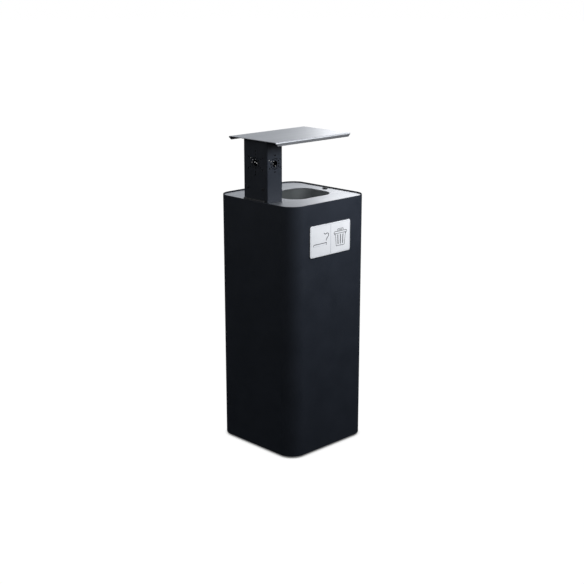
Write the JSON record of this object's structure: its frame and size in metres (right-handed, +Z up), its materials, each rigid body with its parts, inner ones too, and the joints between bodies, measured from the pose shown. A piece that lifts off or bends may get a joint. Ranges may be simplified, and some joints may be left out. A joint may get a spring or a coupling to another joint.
{
  "type": "ashtray bin",
  "caption": "Square freestanding litter bin with a lockable lid on a side hinge, a perforated cigarette stub post and a folded rain canopy over the waste opening.",
  "frame": {"origin": "on the floor under the centre of the square body", "axes": "+Z up; -Y is the face with the sign; the stub post and the lid's hinge are at -X, the lock at +X"},
  "size_m": [0.3015, 0.3023, 0.88],
  "materials": {
    "body_paint": "fine-grained matt powder coat, near black",
    "lid_steel": "satin, brushed along X",
    "canopy_steel": "satin, brushed along X",
    "galvanised_sheet": "hot-dip galvanised, faint spangle",
    "zinc_hardware": "zinc plated",
    "black_hardware": "blackened, satin",
    "rubber": "moulded, matt",
    "sign_face": "white satin enamel on sheet, dark grey pictograms"
  },
  "bodies": {
    "bin_body": {"body_shell": "body_paint", "base_plate": "galvanised_sheet", "levelling_foot_1": "rubber", "levelling_foot_2": "rubber", "levelling_foot_3": "rubber", "levelling_foot_4": "rubber", "foot_nut_1": "zinc_hardware", "foot_nut_2": "zinc_hardware", "foot_nut_3": "zinc_hardware", "foot_nut_4": "zinc_hardware", "lid_ledge_front": "body_paint", "lid_ledge_back": "body_paint", "lid_buffer_front_hinge_side": "rubber", "lid_buffer_front_lock_side": "rubber", "lid_buffer_back_hinge_side": "rubber", "lid_buffer_back_lock_side": "rubber", "lock_keeper": "galvanised_sheet", "liner_rest_1": "galvanised_sheet", "liner_rest_2": "galvanised_sheet", "waste_liner": "galvanised_sheet", "ash_box_cradle": "galvanised_sheet", "ash_box": "galvanised_sheet", "sign_plate": "sign_face", "hinge_leaf_body": "black_hardware", "hinge_pin": "black_hardware"},
    "lid": {"lid_plate": "lid_steel", "hinge_leaf_lid": "black_hardware", "waste_chute": "galvanised_sheet", "stub_post": "body_paint", "post_bracket": "galvanised_sheet", "bracket_screw_1": "zinc_hardware", "bracket_screw_2": "zinc_hardware", "bracket_screw_3": "zinc_hardware", "bracket_screw_4": "zinc_hardware", "post_screw_front": "black_hardware", "post_screw_back": "black_hardware", "rain_canopy": "canopy_steel", "canopy_mount_plate": "galvanised_sheet", "canopy_stud_1": "zinc_hardware", "canopy_stud_2": "zinc_hardware", "canopy_nut_1": "zinc_hardware", "canopy_nut_2": "zinc_hardware", "lock_sleeve": "black_hardware", "lock_nut": "zinc_hardware"},
    "lock_plug_and_cam": {"lock_plug": "black_hardware", "lock_cam": "zinc_hardware", "cam_screw": "zinc_hardware"},
    "ash_box_handle": {"ash_box_bail": "zinc_hardware"}
  },
  "joints": [
    {"name": "lid_hinge", "type": "hinge", "parent": "bin_body", "child": "lid", "pos_m": [-0.1439, 0, 0.7145], "axis": [0, -1, 0], "range_deg": [0, 95]},
    {"name": "lock_turn", "type": "hinge", "parent": "lid", "child": "lock_plug_and_cam", "pos_m": [0.13, 0, 0.7105], "axis": [0, 0, -1], "range_deg": [0, 90]},
    {"name": "ash_box_bail_swing", "type": "hinge", "parent": "bin_body", "child": "ash_box_handle", "pos_m": [-0.113, 0, 0.668], "axis": [0, -1, 0], "range_deg": [0, 214]}
  ]
}
